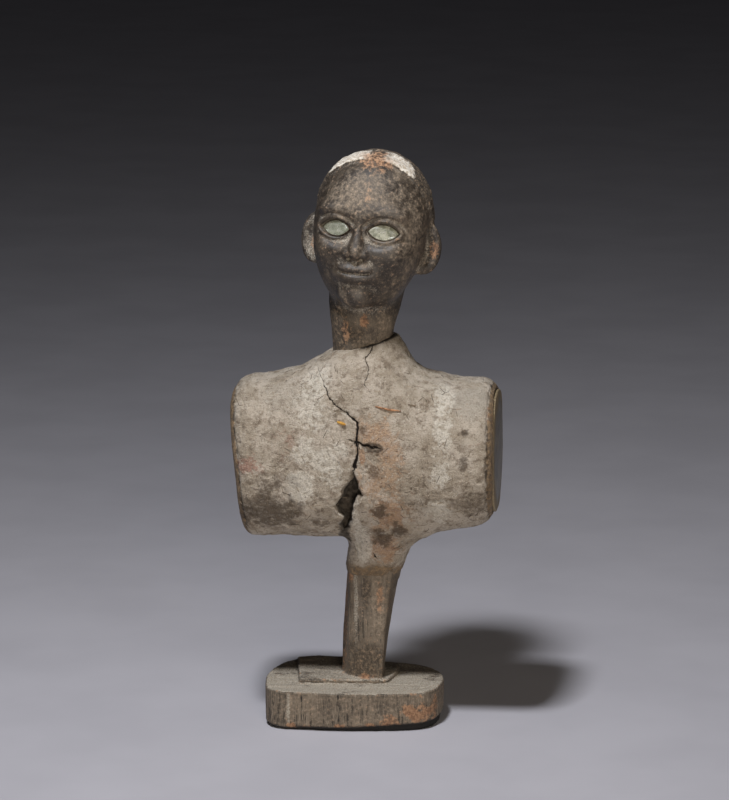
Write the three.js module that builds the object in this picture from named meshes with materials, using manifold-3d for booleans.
// Carved wooden figurine: head and neck, a moulded clay pack around the body, a tapering post and a base.
// Units are millimetres, +Z is up, the figure faces -Y, and the origin is under the middle of its box.

import * as THREE from 'three';
import { mergeVertices } from 'three/addons/utils/BufferGeometryUtils.js';
import Module from 'manifold-3d';

const wasm = await Module();
wasm.setup();

// Driving dimensions: the whole figure
const TOTAL_HEIGHT = 198.5;
const PACK_HALF_LENGTH = 46.6;
const PACK_HALF_DEPTH = 23;
const JOINT_GAP = 0.3;

// Driving dimensions: the base slab and the pad left standing on it
const BASE_THICKNESS = 13.6;
const BASE_EDGE_ROUNDING = 1.0;
const PAD_THICKNESS = 1.6;
const PAD_SINK = 1.0;
const BASE_OUTLINE = [
  [-33.9, 1], [-33.4, -9], [-31, -18.6], [-26.8, -21.9], [-17, -22.5], [-5, -22.7], [5, -21.4],
  [15, -19.8], [22.6, -16.8], [26.3, -11.6], [27.5, -3.6], [27.2, 4], [24.4, 10.8], [18.6, 16],
  [8, 19.4], [-5, 21.4], [-17, 22.2], [-26.4, 19.8], [-31.8, 11.4],
];
const PAD_OUTLINE = [
  [-21.4, -11.2], [-8, -10.4], [8.8, -8.4], [11.4, 3], [10.8, 13], [-8, 18.6], [-19, 19.6], [-26, 17],
];
const PAD_BEVEL = 0.5;

// Driving dimensions: the faceted post, as its corners at the foot and at the pack
const POST_FOOT_Z = 12;
const POST_TOP_Z = 54.2;
const POST_FLARE_POWER = 1.6;
const POST_FOOT = [[-8.7, 4.6], [-5, -4.4], [0.4, -7], [7, -7.4], [6.8, 2.4], [3.2, 8.2], [-4.6, 8.6]];
const POST_TOP = [[-6, 2.6], [-4.6, -6.2], [0.6, -9.4], [10.8, -8.4], [13.2, -0.6], [10, 8.4], [-2.4, 9.2]];
const POST_ROWS = 6;

// Driving dimensions: the body inside the pack and the neck above it
const BODY_FOOT = { z: POST_TOP_Z - 4, x: 3.9, halfWidth: 8, halfDepth: 7.4 };
const BODY_RINGS = [
  { z: 54.6, x: 4.1, halfWidth: 8.7, halfDepth: 8.4 },
  { z: 68, x: 4, halfWidth: 10.4, halfDepth: 10.4 },
  { z: 96, x: 2, halfWidth: 11.4, halfDepth: 11.2 },
  { z: 121, x: 0, halfWidth: 10.9, halfDepth: 11 },
];
const NECK_RINGS = [
  { z: 129, x: -0.4, halfWidth: 10.3, halfDepth: 10.8 },
  { z: 136, x: -0.5, halfWidth: 10.5, halfDepth: 10.9 },
  { z: 140.5, x: -0.2, halfWidth: 11.2, halfDepth: 11.5 },
  { z: 145, x: 0.1, y: 0.9, halfWidth: 12.2, halfDepth: 12.3 },
  { z: 151, x: 0.7, y: 2.4, halfWidth: 13, halfDepth: 13.2 },
  { z: 160, x: 1.6, y: 3.6, halfWidth: 14.2, halfDepth: 14.2 },
  { z: 168, x: 2.1, y: 2.6, halfWidth: 13.4, halfDepth: 13 },
];

// Driving dimensions: the head, in its own frame with the eye line at zero and the face towards -Y
const HEAD_HALF_WIDTH = 20;
const EYE_LINE_BELOW_TOP = 27.4;
const HEAD_CENTRE = [2.1, 0.2, TOTAL_HEIGHT - EYE_LINE_BELOW_TOP];
const HEAD_TILT_BACK = 9;
const HEAD_YAW = 6;
const HEAD_ROLL = 4;
const EYE_WIDTH = 10.4;
const EYE_HEIGHT = 5;
const EYE_SPREAD = 8.6;
const EYE_YAW = 20;
const EYE_PITCH = 4;
const EYE_PLANE_FRONT = 17.6;
const GLASS_THICKNESS = 1.7;
const GLASS_DOME = 0.8;
const CAP_STEP = 0.8;
const EAR_HEIGHT = 17.6;
const EAR_REACH = 5.6;
const EAR_THICKNESS = 4.6;
const EAR_TURN = 14;
const EAR_CENTRE = [HEAD_HALF_WIDTH - 0.9, 1.6, -4.4];
const EAR_CUP_CENTRE = [HEAD_HALF_WIDTH - 0.4, -0.6, -4.2];
const EAR_RIM_SIDE = 1.7;
const EAR_RIM_END = 2.2;

// Driving dimensions: the moulded pack, from its left end to its right end
const PACK_TOP_Z = 119.8;
const PACK_BOTTOM_Z = 64.6;
const PACK_SQUARENESS = 2.5;
const PACK_LEFT_TILT = 6;
const PACK_LEFT_ROUNDING = 8;
const PACK_FOOT_ROUNDING = 2.8;
const PACK_RIGHT_ROUNDING = 4.6;
const PACK_SHOULDER_ROUNDING = 7;
const PACK_LEFT_SET_BACK = 3.4;
const PACK_TOP_RISE = 0.6;
const PACK_RIGHT_RISE = 6.8;
const PACK_END_THINNING = 0.8;
const DISC_HALF_HEIGHT = 20.8;
const DISC_HALF_DEPTH = 17.9;
const DISC_DOME = 0.5;
const DISC_SEAT = 1.6;
const DISC_FACE_X = PACK_HALF_LENGTH - DISC_DOME;
const DISC_CENTRE_Z = (PACK_TOP_Z + PACK_BOTTOM_Z + PACK_RIGHT_RISE) / 2;

// Driving dimensions: the mass drawn up to the neck, and the thin skirt of it around the head of the post
const COLLAR_RINGS = [
  { z: 100, x: 0, halfWidth: 26, halfDepth: 21.4 },
  { z: 112, x: 0, halfWidth: 31, halfDepth: 21 },
  { z: 118.4, x: -0.4, halfWidth: 34, halfDepth: 19.4 },
  { z: 120.8, x: -1.4, halfWidth: 29, halfDepth: 18.4 },
  { z: 122.6, x: -1.4, halfWidth: 23.6, halfDepth: 17.2 },
  { z: 124.6, x: -1.2, halfWidth: 19.6, halfDepth: 16, tilt: 1 },
  { z: 127.4, x: -1.2, halfWidth: 16.6, halfDepth: 14.6, tilt: 5 },
  { z: 130, x: -0.6, halfWidth: 14, halfDepth: 13, tilt: 10 },
  { z: 132.4, x: -0.4, halfWidth: 11.6, halfDepth: 12, tilt: 15 },
];
const SKIRT_RINGS = [
  { z: 54.6, x: 3.9, halfWidth: 10, halfDepth: 9.9, power: 2.8 },
  { z: 57.8, x: 4.6, halfWidth: 10.3, halfDepth: 11, power: 2.6 },
  { z: 61.2, x: 5.5, halfWidth: 10.8, halfDepth: 12.4, power: 2.4 },
  { z: 64.6, x: 7.4, halfWidth: 12.6, halfDepth: 14.2, power: 2.2 },
  { z: 67.4, x: 9.2, halfWidth: 15.4, halfDepth: 15.6, power: 2.2 },
  { z: 75, x: 11, halfWidth: 18.4, halfDepth: 16, power: 2.2 },
];

// Driving dimensions: the opening broken into the pack at the foot of its front crack, as x and z
const BREAK_OUTLINE = [
  [-0.9, 93], [0.6, 88.6], [2.4, 83.6], [-0.6, 79.4], [-1.5, 74], [-3.4, 69], [-3.6, 62],
  [-7.4, 62], [-6.8, 70], [-6.9, 73], [-6, 75.4], [-8, 79.6], [-6, 83.4], [-3.6, 87.4], [-2, 91],
];
const BREAK_DEPTH = 8.5;

// Mesh fineness; the head's bands lie closer over the face, and a search along each ray finds its surface
const BASE_POINTS = 52;
const HEAD_SECTORS = 58;
const HEAD_BANDS = 33;
const FACE_BANDS = 21;
const FACE_ANGLE = 68;
const RAY_START = 5;
const RAY_END = 34;
const RAY_STEPS = 26;
const EAR_SECTORS = 18;
const EAR_BANDS = 12;
const LOFT_SECTORS = 28;
const PACK_SECTORS = 36;
const SKIRT_SECTORS = 32;
const EYE_SECTORS = 16;
const DISC_SECTORS = 32;

const radians = THREE.MathUtils.degToRad;

// A signed power, which squares off a circle's sine or cosine
function squared(value, power) {
  return Math.sign(value) * Math.abs(value) ** (2 / power);
}

// A smooth minimum of two distances, with a fillet of about the given size
function blend(a, b, size) {
  const share = Math.max(size - Math.abs(a - b), 0) / size;
  return Math.min(a, b) - share * share * size * 0.25;
}

// The distance to an ellipsoid, close enough near its surface
function ellipsoid(point, centre, radii) {
  const x = (point[0] - centre[0]) / radii[0];
  const y = (point[1] - centre[1]) / radii[1];
  const z = (point[2] - centre[2]) / radii[2];
  const length = Math.hypot(x, y, z);
  const slope = Math.hypot(x / radii[0], y / radii[1], z / radii[2]);
  return length * (length - 1) / Math.max(slope, 1e-6);
}

// The distance to a round-ended cone between two points
function taperedRod(point, start, end, startRadius, endRadius) {
  const along = end.map((value, axis) => value - start[axis]);
  const offset = point.map((value, axis) => value - start[axis]);
  const lengthSquared = along.reduce((sum, value) => sum + value * value, 0);
  const dot = offset.reduce((sum, value, axis) => sum + value * along[axis], 0);
  const share = THREE.MathUtils.clamp(dot / lengthSquared, 0, 1);
  const nearest = offset.map((value, axis) => value - along[axis] * share);
  return Math.hypot(...nearest) - THREE.MathUtils.lerp(startRadius, endRadius, share);
}

// The carved head as a field: negative inside the wood, in the head's own frame
function headField(point) {
  const mirrored = [Math.abs(point[0]), point[1], point[2]];
  const skull = ellipsoid(point, [0.5, 0.7, 5.6], [HEAD_HALF_WIDTH - 0.5, 20.6, 21.2]);
  const jaw = ellipsoid(point, [0.2, -3.4, -8.6], [16.4, 15, 18.8]);
  let field = blend(skull, jaw, 10);
  field = blend(field, ellipsoid(mirrored, [9.4, -12.4, -7], [5.4, 5, 4.6]), 5);
  field = -blend(-field, ellipsoid(mirrored, [8, -21.4, -0.6], [8.6, 5, 5.2]), 3);
  field = blend(field, ellipsoid(mirrored, [EYE_SPREAD, -14.2, 0.2], [6.6, 3.6, 4]), 1);
  field = blend(field, ellipsoid(mirrored, [7.4, -15.2, 6.2], [7.6, 3, 1.9]), 3.2);
  field = blend(field, taperedRod(point, [0, -16.2, 6], [0, -20, -7.6], 1.7, 2.3), 1.6);
  field = blend(field, ellipsoid(mirrored, [2.9, -18.4, -8.2], [2, 2.5, 1.9]), 0.8);
  field = blend(field, ellipsoid(point, [0, -15.6, -14.6], [7.6, 4, 3.8]), 3);
  field = blend(field, ellipsoid(mirrored, [1.8, -18.2, -13.3], [4.4, 2, 1.4]), 0.6);
  field = blend(field, ellipsoid(point, [0, -17.9, -16.4], [4.9, 2, 1.5]), 0.6);
  field = blend(field, ellipsoid(point, [0, -13.6, -22.6], [5, 4.2, 3.8]), 4);
  return field;
}

// How far a point lies behind the hairline, which runs from the top of the brow down to the ears
function behindHairline(point) {
  return 0.84 * point[1] + 0.54 * point[2] - 3.6;
}

// A closed mesh as a manifold solid
function solid(geometry) {
  const bare = geometry.index ? geometry.toNonIndexed() : geometry.clone();
  bare.deleteAttribute('normal');
  bare.deleteAttribute('uv');
  const merged = mergeVertices(bare, 1e-4);
  return new wasm.Manifold(new wasm.Mesh({
    numProp: 3,
    vertProperties: new Float32Array(merged.attributes.position.array),
    triVerts: new Uint32Array(merged.index.array),
  }));
}

// A manifold solid as a mesh geometry
function geometryOf(body) {
  const mesh = body.getMesh();
  const geometry = new THREE.BufferGeometry();
  geometry.setAttribute('position', new THREE.BufferAttribute(new Float32Array(mesh.vertProperties), 3));
  geometry.setIndex(new THREE.BufferAttribute(new Uint32Array(mesh.triVerts), 1));
  geometry.computeVertexNormals();
  return geometry;
}

// A loft through rings: a cylinder whose rows of points are moved onto them, first ring at the bottom
function loft(rings, sectors, place) {
  const geometry = new THREE.CylinderGeometry(1, 1, 1, sectors, rings.length - 1);
  const position = geometry.attributes.position;
  for (let index = 0; index < position.count; index += 1) {
    const row = Math.round((position.getY(index) + 0.5) * (rings.length - 1));
    const radial = Math.hypot(position.getX(index), position.getZ(index));
    const angle = Math.atan2(-position.getZ(index), position.getX(index));
    position.setXYZ(index, ...place(rings[row], angle, radial > 0.5 ? 1 : 0));
  }
  return geometry;
}

// A point on an upright oval ring, grown by an offset; a radial share of 0 gives its centre
function ovalPoint(ring, angle, share, grow = 0) {
  const x = ring.x + share * (ring.halfWidth + grow) * squared(Math.cos(angle), ring.power ?? 2);
  const y = (ring.y ?? 0) + share * (ring.halfDepth + grow) * squared(Math.sin(angle), ring.power ?? 2);
  return [x, y, ring.z + (x - ring.x) * Math.tan(radians(ring.tilt ?? 0))];
}

// A point on a faceted ring: the loft's sectors are its corners
function cornerPoint(ring, angle, share) {
  const count = ring.corners.length;
  const middle = [0, 1].map((axis) => ring.corners.reduce((sum, corner) => sum + corner[axis], 0) / count);
  const turn = Math.round(angle / (2 * Math.PI) * count);
  const corner = ring.corners[(turn + count) % count];
  return share === 0 ? [...middle, ring.z] : [...corner, ring.z];
}

// The slab under the figure, with its small raised pad
function baseSolid() {
  const outline = new THREE.CatmullRomCurve3(
    BASE_OUTLINE.map(([x, y]) => new THREE.Vector3(x, y, 0)), true, 'centripetal');
  const rim = outline.getPoints(BASE_POINTS).slice(0, -1).map((point) => new THREE.Vector2(point.x, point.y));
  const slab = new THREE.ExtrudeGeometry(new THREE.Shape(rim), {
    depth: BASE_THICKNESS - 2 * BASE_EDGE_ROUNDING,
    bevelThickness: BASE_EDGE_ROUNDING,
    bevelSize: BASE_EDGE_ROUNDING,
    bevelOffset: -BASE_EDGE_ROUNDING,
    bevelSegments: 1,
  });
  slab.translate(0, 0, BASE_EDGE_ROUNDING);
  const padShape = new THREE.Shape(PAD_OUTLINE.map(([x, y]) => new THREE.Vector2(x, y)));
  const pad = new THREE.ExtrudeGeometry(padShape, {
    depth: PAD_SINK + PAD_THICKNESS - PAD_BEVEL,
    bevelThickness: PAD_BEVEL,
    bevelSize: PAD_BEVEL,
    bevelOffset: -PAD_BEVEL,
    bevelSegments: 1,
  });
  pad.translate(0, 0, BASE_THICKNESS - PAD_SINK);
  return solid(slab).add(solid(pad));
}

// The post, cut in long flat facets and flaring to the right as it rises
function postSolid() {
  const rings = [];
  for (let row = 0; row <= POST_ROWS; row += 1) {
    const share = row / POST_ROWS;
    const flare = share ** POST_FLARE_POWER;
    rings.push({
      z: THREE.MathUtils.lerp(POST_FOOT_Z, POST_TOP_Z, share),
      corners: POST_FOOT.map(([x, y], corner) => [
        THREE.MathUtils.lerp(x, POST_TOP[corner][0], flare),
        THREE.MathUtils.lerp(y, POST_TOP[corner][1], flare),
      ]),
    });
  }
  return solid(loft(rings, POST_FOOT.length, cornerPoint));
}

// The wood that runs on from the post through the pack, as a body grown by an offset
function bodySolid(grow) {
  const rings = [BODY_FOOT, ...BODY_RINGS, ...NECK_RINGS];
  return solid(loft(rings, LOFT_SECTORS, (ring, angle, share) => ovalPoint(ring, angle, share, grow)));
}

// Places a shape made in the head's frame on the figure
function onHead(geometry) {
  geometry.rotateY(radians(HEAD_ROLL));
  geometry.rotateX(radians(-HEAD_TILT_BACK));
  geometry.rotateZ(radians(-HEAD_YAW));
  geometry.translate(...HEAD_CENTRE);
  return geometry;
}

// The head: a sphere with its pole at the face, pressed out along its rays onto the carved field
function headGeometry() {
  const geometry = new THREE.SphereGeometry(1, HEAD_SECTORS, HEAD_BANDS);
  const position = geometry.attributes.position;
  const faceAngle = radians(FACE_ANGLE);
  for (let index = 0; index < position.count; index += 1) {
    const polar = Math.acos(THREE.MathUtils.clamp(position.getY(index), -1, 1));
    const band = Math.round(polar / Math.PI * HEAD_BANDS);
    const eased = band <= FACE_BANDS
      ? faceAngle * band / FACE_BANDS
      : faceAngle + (Math.PI - faceAngle) * (band - FACE_BANDS) / (HEAD_BANDS - FACE_BANDS);
    const around = Math.atan2(position.getZ(index), position.getX(index));
    const pole = band === 0 || band === HEAD_BANDS;
    const spread = pole ? 0 : Math.sin(eased);
    const ray = [spread * Math.cos(around), -Math.cos(eased), -spread * Math.sin(around)];
    let low = RAY_START;
    let high = RAY_END;
    for (let step = 0; step < RAY_STEPS; step += 1) {
      const middle = (low + high) / 2;
      if (headField(ray.map((value) => value * middle)) < 0) low = middle;
      else high = middle;
    }
    const surface = ray.map((value) => value * low);
    const raised = low + CAP_STEP * THREE.MathUtils.smoothstep(behindHairline(surface), -0.4, 0.4);
    position.setXYZ(index, ...ray.map((value) => value * raised));
  }
  return onHead(geometry);
}

// One ear: an upright oval flap, cupped towards the front
function earSolid(side) {
  const turn = radians(side * EAR_TURN);
  const flap = new THREE.SphereGeometry(1, EAR_SECTORS, EAR_BANDS);
  flap.scale(EAR_REACH, EAR_THICKNESS / 2, EAR_HEIGHT / 2);
  flap.rotateZ(turn);
  flap.translate(side * EAR_CENTRE[0], EAR_CENTRE[1], EAR_CENTRE[2]);
  const cup = new THREE.SphereGeometry(1, EAR_SECTORS - 4, EAR_BANDS - 4);
  cup.scale(EAR_REACH - EAR_RIM_SIDE, EAR_THICKNESS / 2, EAR_HEIGHT / 2 - EAR_RIM_END);
  cup.rotateZ(turn);
  cup.translate(side * EAR_CUP_CENTRE[0], EAR_CUP_CENTRE[1], EAR_CUP_CENTRE[2]);
  return solid(onHead(flap)).subtract(solid(onHead(cup)));
}

// A point on an almond-shaped ring of an eye, which two arcs bound, with its depth as the third number
function almondPoint(ring, angle, share) {
  const half = EYE_WIDTH / 2 + ring.grow;
  const rise = EYE_HEIGHT / 2 + ring.grow;
  const radius = (half * half + rise * rise) / (2 * rise);
  const drop = radius - rise;
  const height = Math.abs(Math.sin(angle));
  const reach = Math.sqrt(height * height * drop * drop + radius * radius - drop * drop) - height * drop;
  const size = share * ring.size * reach;
  return [size * Math.cos(angle), size * Math.sin(angle), ring.depth];
}

// Turns a plate made flat at the origin, facing +Z, into an eye's place on the face
function asEye(geometry, side) {
  const turn = radians(side * EYE_YAW);
  geometry.rotateX(radians(90 - EYE_PITCH));
  geometry.rotateZ(turn);
  geometry.translate(side * EYE_SPREAD, -EYE_PLANE_FRONT, 0);
  return onHead(geometry);
}

// The glass inlay of one eye: a thin almond plate, domed to the front
function eyeGlassGeometry(side) {
  const rings = [
    { depth: -GLASS_THICKNESS, size: 1, grow: 0 },
    { depth: -GLASS_DOME, size: 1, grow: 0 },
    { depth: -GLASS_DOME * 0.36, size: 0.8, grow: 0 },
    { depth: -GLASS_DOME * 0.06, size: 0.4, grow: 0 },
  ];
  return asEye(loft(rings, EYE_SECTORS, almondPoint), side);
}

// The socket that the glass sits in, open to the front
function eyeSocketSolid(side) {
  const rings = [
    { depth: -GLASS_THICKNESS - JOINT_GAP, size: 1, grow: JOINT_GAP },
    { depth: 6, size: 1, grow: JOINT_GAP },
  ];
  return solid(asEye(loft(rings, EYE_SECTORS, almondPoint), side));
}

// How far a round corner has drawn the surface in, at a distance from the end
function cornerInset(fromEnd, rounding) {
  const inCorner = Math.max(rounding - fromEnd, 0);
  return rounding - Math.sqrt(rounding ** 2 - inCorner ** 2);
}

// The rings of the pack from end to end: a drum lying along X, round-cornered, its left end leaning
function packRings() {
  const rounding = [0, 0.12, 0.35, 0.65, 1];
  const middle = [-0.72, -0.5, -0.25, 0, 0.25, 0.5, 0.72];
  const stations = [
    ...rounding.map((share) => -1 + share * PACK_LEFT_ROUNDING / PACK_HALF_LENGTH),
    ...middle,
    ...rounding.map((share) => 1 - share * PACK_SHOULDER_ROUNDING / PACK_HALF_LENGTH).reverse(),
  ];
  return stations.map((share) => {
    const fromEnd = (1 - Math.abs(share)) * PACK_HALF_LENGTH;
    const inset = cornerInset(fromEnd, share < 0 ? PACK_LEFT_ROUNDING : PACK_RIGHT_ROUNDING);
    const topInset = cornerInset(fromEnd, share < 0 ? PACK_LEFT_ROUNDING : PACK_SHOULDER_ROUNDING);
    const footInset = cornerInset(fromEnd, share < 0 ? PACK_FOOT_ROUNDING : PACK_SHOULDER_ROUNDING);
    const leftShare = Math.max(-share, 0);
    const rightShare = Math.max(share, 0);
    const top = PACK_TOP_Z + PACK_TOP_RISE * rightShare - topInset;
    const bottom = PACK_BOTTOM_Z + PACK_RIGHT_RISE * rightShare ** 1.4 + footInset;
    const endFace = share < 0 ? -PACK_HALF_LENGTH + PACK_LEFT_SET_BACK * leftShare : DISC_FACE_X;
    return {
      x: Math.abs(share) * endFace,
      z: (top + bottom) / 2,
      halfHeight: (top - bottom) / 2,
      halfDepth: PACK_HALF_DEPTH - PACK_END_THINNING * share * share - inset,
      tilt: PACK_LEFT_TILT * leftShare ** 2,
    };
  });
}

// A point on one of the pack's upright rings
function packPoint(ring, angle, share) {
  const up = share * ring.halfHeight * squared(Math.cos(angle), PACK_SQUARENESS);
  const out = share * ring.halfDepth * squared(Math.sin(angle), PACK_SQUARENESS);
  return [ring.x - up * Math.tan(radians(ring.tilt)), -out, ring.z + up];
}

// A point on a square-shouldered ring that faces the right end
function discPoint(ring, angle, share) {
  const up = share * (DISC_HALF_HEIGHT * ring.size + ring.grow) * squared(Math.cos(angle), PACK_SQUARENESS);
  const out = share * (DISC_HALF_DEPTH * ring.size + ring.grow) * squared(Math.sin(angle), PACK_SQUARENESS);
  return [ring.x, -out, DISC_CENTRE_Z + up];
}

// The recess that the end disc is let into
function discSeatSolid() {
  const rings = [
    { x: DISC_FACE_X - DISC_SEAT, size: 1, grow: JOINT_GAP },
    { x: PACK_HALF_LENGTH + 4, size: 1, grow: JOINT_GAP },
  ];
  return solid(loft(rings, DISC_SECTORS, discPoint));
}

// The smooth disc at the right end, slightly domed
function endDiscGeometry() {
  const rings = [
    { x: DISC_FACE_X - DISC_SEAT + JOINT_GAP, size: 1, grow: 0 },
    { x: DISC_FACE_X, size: 1, grow: 0 },
    { x: DISC_FACE_X + DISC_DOME * 0.5, size: 0.86, grow: 0 },
    { x: DISC_FACE_X + DISC_DOME * 0.87, size: 0.5, grow: 0 },
    { x: DISC_FACE_X + DISC_DOME, size: 0.2, grow: 0 },
  ];
  return loft(rings, DISC_SECTORS, discPoint);
}

// The opening at the foot of the front crack
function breakSolid() {
  const shape = new THREE.Shape(BREAK_OUTLINE.map(([x, z]) => new THREE.Vector2(x, z)));
  const cutter = new THREE.ExtrudeGeometry(shape, { depth: 20, bevelEnabled: false });
  cutter.rotateX(Math.PI / 2);
  cutter.translate(0, -PACK_HALF_DEPTH + BREAK_DEPTH, 0);
  return solid(cutter);
}

// The whole moulded mass: drum, collar and skirt, with its channel, its opening and its seat cut out
function packSolid() {
  const drum = solid(loft(packRings(), PACK_SECTORS, packPoint));
  const collar = solid(loft(COLLAR_RINGS, PACK_SECTORS, ovalPoint));
  const skirt = solid(loft(SKIRT_RINGS, SKIRT_SECTORS, ovalPoint));
  const mass = drum.add(collar).add(skirt);
  return mass.subtract(bodySolid(JOINT_GAP)).subtract(breakSolid()).subtract(discSeatSolid());
}

// The whole of the wood, with the eye sockets cut into the head
function figureSolid() {
  const head = solid(headGeometry()).add(earSolid(-1)).add(earSolid(1));
  const carvedHead = head.subtract(eyeSocketSolid(-1)).subtract(eyeSocketSolid(1));
  return baseSolid().add(postSolid()).add(bodySolid(0)).add(carvedHead);
}

const WOOD = new THREE.MeshStandardMaterial({ color: '#4a3f33', roughness: 0.55, metalness: 0 });
const CLAY = new THREE.MeshStandardMaterial({ color: '#8d8474', roughness: 0.92, metalness: 0 });
const EYE_GLASS = new THREE.MeshStandardMaterial({ color: '#b9c2b4', roughness: 0.15, metalness: 0 });
const DISC = new THREE.MeshStandardMaterial({ color: '#6b675a', roughness: 0.35, metalness: 0 });

// A named piece of the figurine
function piece(name, geometry, material) {
  const mesh = new THREE.Mesh(geometry, material);
  mesh.name = name;
  return mesh;
}

const figurine = new THREE.Group();
figurine.add(piece('carved_figure', geometryOf(figureSolid()), WOOD));
figurine.add(piece('clay_pack', geometryOf(packSolid()), CLAY));
figurine.add(piece('eye_glass_left', eyeGlassGeometry(1), EYE_GLASS));
figurine.add(piece('eye_glass_right', eyeGlassGeometry(-1), EYE_GLASS.clone()));
figurine.add(piece('end_disc', endDiscGeometry(), DISC));

export default figurine;
